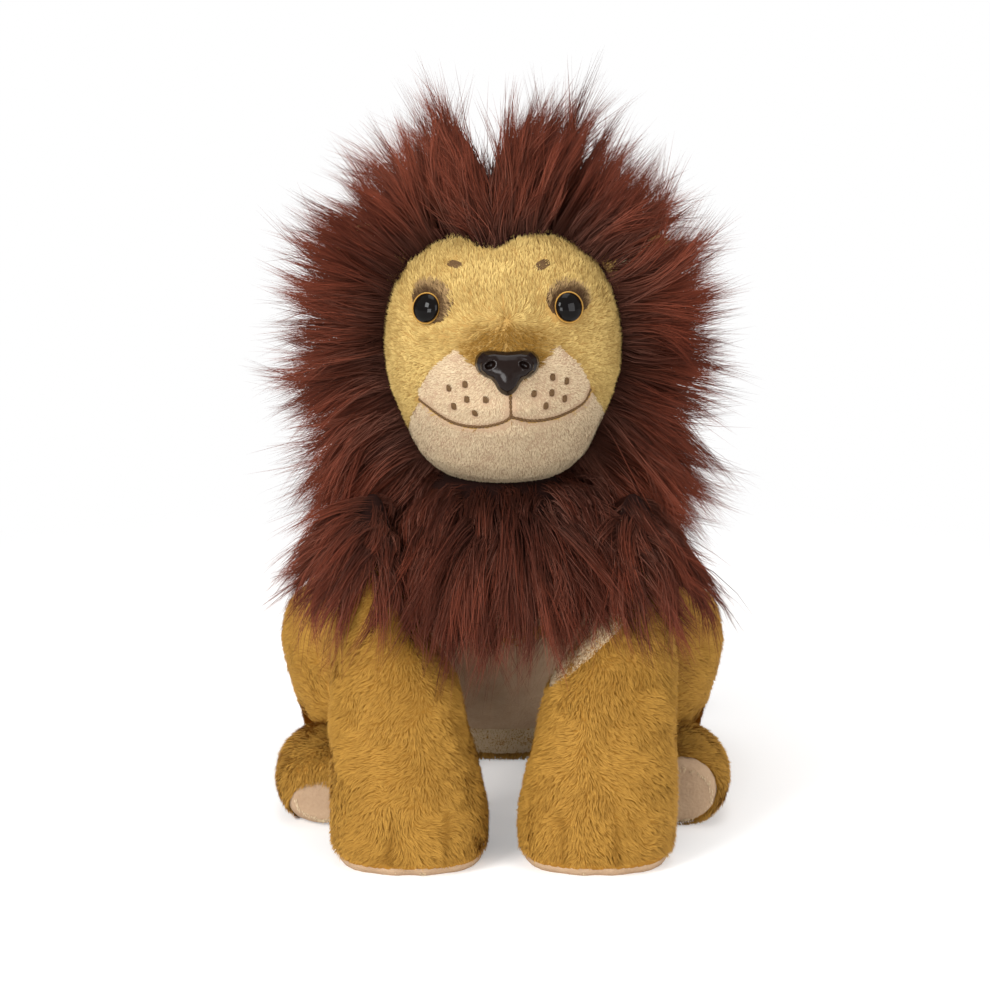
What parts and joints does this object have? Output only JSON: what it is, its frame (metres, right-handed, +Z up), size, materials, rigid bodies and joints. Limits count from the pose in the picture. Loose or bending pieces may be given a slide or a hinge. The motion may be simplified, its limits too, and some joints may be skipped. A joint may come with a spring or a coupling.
{
  "type": "plush lion",
  "caption": "Seated stuffed toy lion with a turning head, folding ears, a swinging tail, a long-pile mane and a pellet-weighted seat.",
  "frame": {"origin": "middle of the flat seat under the rump, on the surface that the lion sits on", "axes": "+Z up, the lion faces -Y, and +X is the lion's own left"},
  "size_m": [0.1818, 0.2702, 0.2865],
  "materials": {
    "gold_plush": "short soft pile",
    "face_plush": "short dense pile",
    "cream_plush": "fine short pile",
    "mane_fur": "long silky pile",
    "eye_patch_plush": "short pile",
    "brown_thread": "embroidery thread",
    "nose_plastic": "glossy",
    "eye_plastic": "glossy",
    "washer_plastic": "matt",
    "bag_cloth": "plain woven"
  },
  "bodies": {
    "torso": {"belly_panel": "cream_plush", "front_leg_left": "gold_plush", "front_leg_right": "gold_plush", "front_sole_left": "cream_plush", "front_sole_right": "cream_plush", "hind_foot_left": "gold_plush", "hind_foot_right": "gold_plush", "hind_pad_left": "cream_plush", "hind_pad_right": "cream_plush", "mane_bib": "mane_fur", "mane_nape": "mane_fur", "seat_pellet_bag": "bag_cloth", "thigh_left": "gold_plush", "thigh_right": "gold_plush", "torso": "gold_plush"},
    "head": {"brow_stitch_left": "brown_thread", "brow_stitch_right": "brown_thread", "chin": "cream_plush", "eye_left": "eye_plastic", "eye_left_washer": "washer_plastic", "eye_patch_left": "eye_patch_plush", "eye_patch_right": "eye_patch_plush", "eye_right": "eye_plastic", "eye_right_washer": "washer_plastic", "head": "face_plush", "mane_left": "mane_fur", "mane_right": "mane_fur", "mouth_stitch_left": "brown_thread", "mouth_stitch_right": "brown_thread", "muzzle_left": "cream_plush", "muzzle_right": "cream_plush", "nose": "nose_plastic", "nose_washer": "washer_plastic", "philtrum_stitch": "brown_thread", "whisker_dot_left_1": "brown_thread", "whisker_dot_left_2": "brown_thread", "whisker_dot_left_3": "brown_thread", "whisker_dot_left_4": "brown_thread", "whisker_dot_left_5": "brown_thread", "whisker_dot_left_6": "brown_thread", "whisker_dot_right_1": "brown_thread", "whisker_dot_right_2": "brown_thread", "whisker_dot_right_3": "brown_thread", "whisker_dot_right_4": "brown_thread", "whisker_dot_right_5": "brown_thread", "whisker_dot_right_6": "brown_thread"},
    "ear_left": {"ear_left": "face_plush", "ear_lining_left": "cream_plush"},
    "ear_right": {"ear_lining_right": "cream_plush", "ear_right": "face_plush"},
    "tail": {"tail": "gold_plush", "tail_tuft": "mane_fur"}
  },
  "joints": [
    {"name": "head_turn", "type": "hinge", "parent": "torso", "child": "head", "pos_m": [0, -0.09358, 0.135], "axis": [0, 0, 1], "range_deg": [-20, 20], "stiffness_Nm_per_rad": 0.05},
    {"name": "ear_left_fold", "type": "hinge", "parent": "head", "child": "ear_left", "pos_m": [0.04216, -0.10308, 0.21327], "axis": [0.5736, 0, -0.8192], "range_deg": [0, 40], "stiffness_Nm_per_rad": 0.01},
    {"name": "ear_right_fold", "type": "hinge", "parent": "head", "child": "ear_right", "pos_m": [-0.04216, -0.10308, 0.21327], "axis": [0.5736, 0, 0.8192], "range_deg": [0, 40], "stiffness_Nm_per_rad": 0.01},
    {"name": "tail_swing", "type": "hinge", "parent": "torso", "child": "tail", "pos_m": [0, 0.05569, 0.021], "axis": [0, 0, 1], "range_deg": [-8, 75], "stiffness_Nm_per_rad": 0.01}
  ]
}
